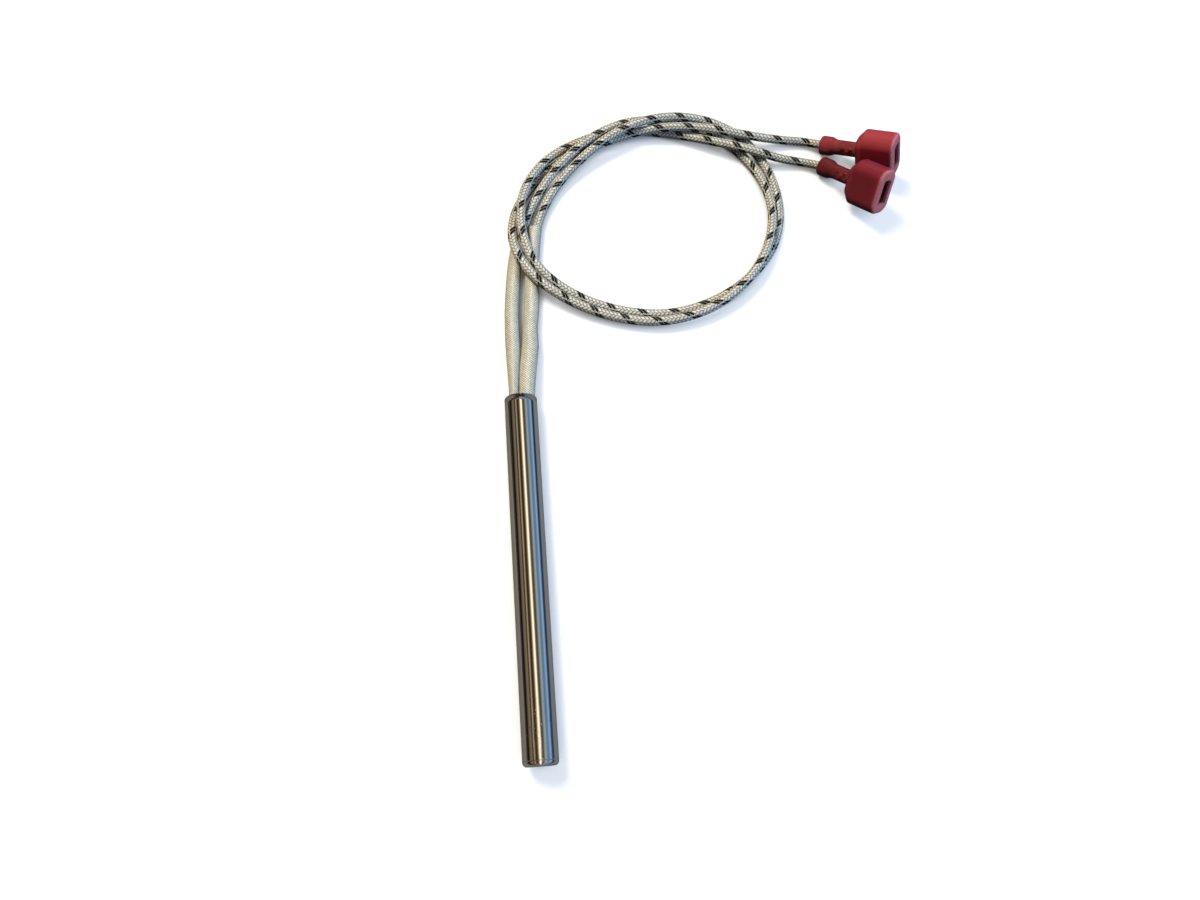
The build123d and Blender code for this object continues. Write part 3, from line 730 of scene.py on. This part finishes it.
# Tones of the two housings: clear nylon, over the folded metal, round the bell, and on the slot's rim
# Both housings are the same nylon; their tones hold painted light and shade, the left one's painted
# lighter against the shade on its faces turned from the key lamp
lit_and_shaded_nylon_tones = {
    "right": {
        "clear": (0.135, 0.012, 0.021), "core": (0.112, 0.008, 0.012),
        "bell": (0.095, 0.009, 0.011), "rim": (0.40, 0.105, 0.090),
    },
    "left": {
        "clear": (0.225, 0.026, 0.030), "core": (0.340, 0.020, 0.032),
        "bell": (0.195, 0.023, 0.028), "rim": (0.38, 0.100, 0.090),
    },
}

# Plain finishes: darker and lighter tone, roughness, scale of the mottle, and 1 for metal
finishes = {
    "tinned_brass": ((0.42, 0.38, 0.33), (0.62, 0.58, 0.52), 0.25, 900.0, 1.0),
    "nickel_strands": ((0.45, 0.42, 0.38), (0.6, 0.57, 0.52), 0.3, 1500.0, 1.0),
    "white_ceramic": ((0.60, 0.57, 0.50), (0.74, 0.71, 0.64), 0.55, 700.0),
    "magnesia": ((0.68, 0.66, 0.62), (0.80, 0.79, 0.76), 0.75, 1200.0),
    "resistance_alloy": ((0.20, 0.18, 0.17), (0.34, 0.32, 0.30), 0.35, 800.0, 1.0),
    "nickel": ((0.50, 0.48, 0.44), (0.62, 0.60, 0.56), 0.25, 800.0, 1.0),
}
finish = {name: plain_material(name, *values) for name, values in finishes.items()}

# Inner pieces and terminals keep their nodes and get their finish
finish_of = {
    "ceramic_core": "white_ceramic", "mouth_seal": "white_ceramic", "pin_spacer": "magnesia",
    "end_spacer": "magnesia", "magnesia_fill": "magnesia", "potting_cement": "magnesia",
    "resistance_winding": "resistance_alloy",
}
for name in side_of:
    finish_of.update({
        f"receptacle_{name}": "tinned_brass", f"grip_sleeve_{name}": "tinned_brass",
        f"outer_strands_{name}": "nickel_strands", f"inner_strands_{name}": "nickel_strands",
        f"pin_{name}": "nickel", f"splice_{name}": "nickel",
    })
    shade(nodes[f"terminal_housing_{name}"], nylon_material(name, lit_and_shaded_nylon_tones[name]))
for node, kind in finish_of.items():
    shade(nodes[node], finish[kind])

# Floor: pale to the eye, lit in part by its own glow, which gives way to painted contact shade where
# pieces lie close to it
floor_size = 6
floor_tone = (0.92, 0.92, 0.915, 1)
floor_glow = (0.98, 0.98, 0.98, 1)
painted_contact_shade = (0.08, 0.08, 0.075, 1)
contact_reach = 0.006
contact_span = (0.15, 0.75)
glow_share = 0.6

# The floor in mirror images: greys by place across X, and past the mouth
mirrored_left = (0.165, 0.145, 0.12, 1)
mirrored_right = (0.15, 0.155, 0.165, 1)
mirrored_far_right = (0.035, 0.045, 0.06, 1)
mirrored_past_mouth = (0.03, 0.028, 0.025, 1)
right_span = (-0.03, 0.03)
far_right_span = (0.032, 0.05)
past_mouth_span = (mouth_y + 0.006, mouth_y + 0.02)


def stage_floor():
    """Pale floor that is white to the camera and grey in mirror images."""
    bpy.ops.mesh.primitive_plane_add(size=floor_size)
    floor = bpy.context.object
    floor.name = "floor"
    material = bpy.data.materials.new("pale_floor")
    material.use_nodes = True
    kit = Nodes(material.node_tree)
    kit.tree.nodes.remove(kit.tree.nodes["Principled BSDF"])
    pale, grey = kit.new("ShaderNodeBsdfDiffuse"), kit.new("ShaderNodeBsdfDiffuse")
    pale.inputs[0].default_value = floor_tone
    split = kit.new("ShaderNodeSeparateXYZ")
    kit.put(split.inputs[0], place_of(kit))
    x, y = split.outputs[0], split.outputs[1]
    ray = kit.new("ShaderNodeLightPath").outputs
    mirrored = kit.mix(kit.smooth(x, *right_span), mirrored_left, mirrored_right)
    mirrored = kit.mix(kit.smooth(x, *far_right_span), mirrored, mirrored_far_right)
    past_mouth = kit.math("MULTIPLY", ray["Is Glossy Ray"], kit.smooth(y, *past_mouth_span))
    kit.put(grey.inputs[0], kit.mix(past_mouth, mirrored, mirrored_past_mouth))
    glow = kit.new("ShaderNodeEmission")
    openness = kit.new("ShaderNodeAmbientOcclusion", samples=8)
    openness.inputs["Distance"].default_value = contact_reach
    # Painted contact shade: the glow turns dark where pieces lie close to the floor
    clear_of_pieces = kit.smooth(openness.outputs["AO"], *contact_span)
    kit.put(glow.inputs["Color"], kit.mix(clear_of_pieces, painted_contact_shade, floor_glow))
    lit = kit.new("ShaderNodeMixShader")
    lit.inputs[0].default_value = glow_share
    kit.put(lit.inputs[1], pale.outputs[0])
    kit.put(lit.inputs[2], glow.outputs[0])
    mixed = kit.new("ShaderNodeMixShader")
    kit.put(mixed.inputs[0], ray["Is Camera Ray"])
    kit.put(mixed.inputs[1], grey.outputs[0])
    kit.put(mixed.inputs[2], lit.outputs[0])
    kit.put(kit.tree.nodes["Material Output"].inputs[0], mixed.outputs[0])
    shade(floor, material)


# Room light: bands about the sheath's axis, by angle from straight up towards +X, as (degrees, colour)
room_bands = [
    (-180, (0.10, 0.09, 0.08)), (-95, (0.10, 0.09, 0.08)), (-84, (0.05, 0.04, 0.03)),
    (-76, (0.012, 0.006, 0.003)), (-70, (0.015, 0.010, 0.006)), (-62, (0.16, 0.12, 0.085)),
    (-56, (0.25, 0.20, 0.14)), (-48, (0.24, 0.185, 0.12)), (-42, (0.05, 0.03, 0.012)),
    (-38, (0.07, 0.045, 0.02)), (-34, (0.55, 0.43, 0.31)), (-31, (0.50, 0.39, 0.28)),
    (-26, (0.14, 0.09, 0.045)), (-19, (0.03, 0.016, 0.003)), (-12, (0.09, 0.055, 0.018)),
    (-7, (0.35, 0.26, 0.15)), (-1, (1.3, 1.1, 0.82)), (3, (2.0, 1.8, 1.4)),
    (8, (1.5, 1.35, 1.05)), (13, (0.26, 0.22, 0.16)), (19, (0.10, 0.09, 0.065)),
    (25, (0.08, 0.08, 0.06)), (32, (0.33, 0.35, 0.35)), (40, (0.47, 0.54, 0.61)),
    (47, (0.24, 0.34, 0.44)), (55, (0.14, 0.26, 0.39)), (63, (0.19, 0.36, 0.57)),
    (72, (0.38, 0.61, 0.95)), (79, (0.20, 0.34, 0.56)), (86, (0.012, 0.03, 0.075)),
    (95, (0.03, 0.045, 0.08)), (180, (0.10, 0.10, 0.10)),
]
room_past_mouth = (0.035, 0.032, 0.028, 1)
past_mouth_heading = (0.84, 0.98)

# Softer light for everything but mirror images, and what the camera sees behind the part
ambient_left = (0.19, 0.165, 0.12, 1)
ambient_right = (0.21, 0.26, 0.35, 1)
ambient_gain = (0.45, 1.25)
backdrop = (0.80, 0.81, 0.82, 1)


def room_light():
    """World whose colour, in mirror images, goes by the angle about the sheath's axis."""
    world = bpy.data.worlds.new("room")
    bpy.context.scene.world = world
    world.use_nodes = True
    kit = Nodes(world.node_tree)
    split = kit.new("ShaderNodeSeparateXYZ")
    kit.put(split.inputs[0], kit.new("ShaderNodeTexCoord").outputs["Generated"])
    x, y, z = split.outputs
    angle = kit.math("ARCTAN2", x, z)
    ramp = kit.new("ShaderNodeValToRGB")
    kit.put(ramp.inputs[0], kit.scaled(angle, gain=1 / tau, offset=0.5))
    stops = ramp.color_ramp.elements
    stops.remove(stops[1])
    for degrees, colour in room_bands:
        stop = stops.new(degrees / 360 + 0.5) if degrees > -180 else stops[0]
        stop.color = (*colour, 1)
    mirrored = kit.mix(kit.smooth(y, *past_mouth_heading), ramp.outputs[0], room_past_mouth)
    ambient = kit.mix(kit.smooth(x, -0.5, 0.5), ambient_left, ambient_right)
    ambient = kit.mix(1.0, ambient, kit.smooth(z, 0.0, 0.9, *ambient_gain), "MULTIPLY")
    ray = kit.new("ShaderNodeLightPath").outputs
    seen = kit.mix(ray["Is Glossy Ray"], ambient, mirrored)
    seen = kit.mix(ray["Is Camera Ray"], seen, backdrop)
    kit.put(kit.tree.nodes["Background"].inputs[0], seen)


def area_light(name, location, size, power, colour, glint_on=None):
    """Soft square lamp aimed at the loop: diffuse light for all, or glints on one collection alone."""
    data = bpy.data.lights.new(name, "AREA")
    data.shape = "RECTANGLE"
    data.size = size
    data.size_y = size
    data.energy = power
    data.color = colour
    lamp = bpy.data.objects.new(name, data)
    lamp.location = location
    lamp.rotation_euler = (loop_middle - Vector(location)).to_track_quat("-Z", "Y").to_euler()
    lamp.visible_glossy = glint_on is not None
    lamp.visible_diffuse = glint_on is None
    lamp.light_linking.receiver_collection = glint_on
    bpy.context.scene.collection.objects.link(lamp)


stage_floor()
room_light()
loop_middle = Vector((0.04, 0.06, 0.0))
area_light("key", (-0.35, 0.55, 0.85), size=0.35, power=17.5, colour=(1.0, 0.95, 0.86))
area_light("fill", (0.75, -0.1, 0.35), size=0.4, power=9.5, colour=(0.36, 0.60, 1.0))
area_light(
    "glint", (-0.04, 0.46, 0.94), size=0.12, power=10, colour=(1.0, 1.0, 1.0), glint_on=yarn)
bpy.context.scene.view_settings.view_transform = "Standard"
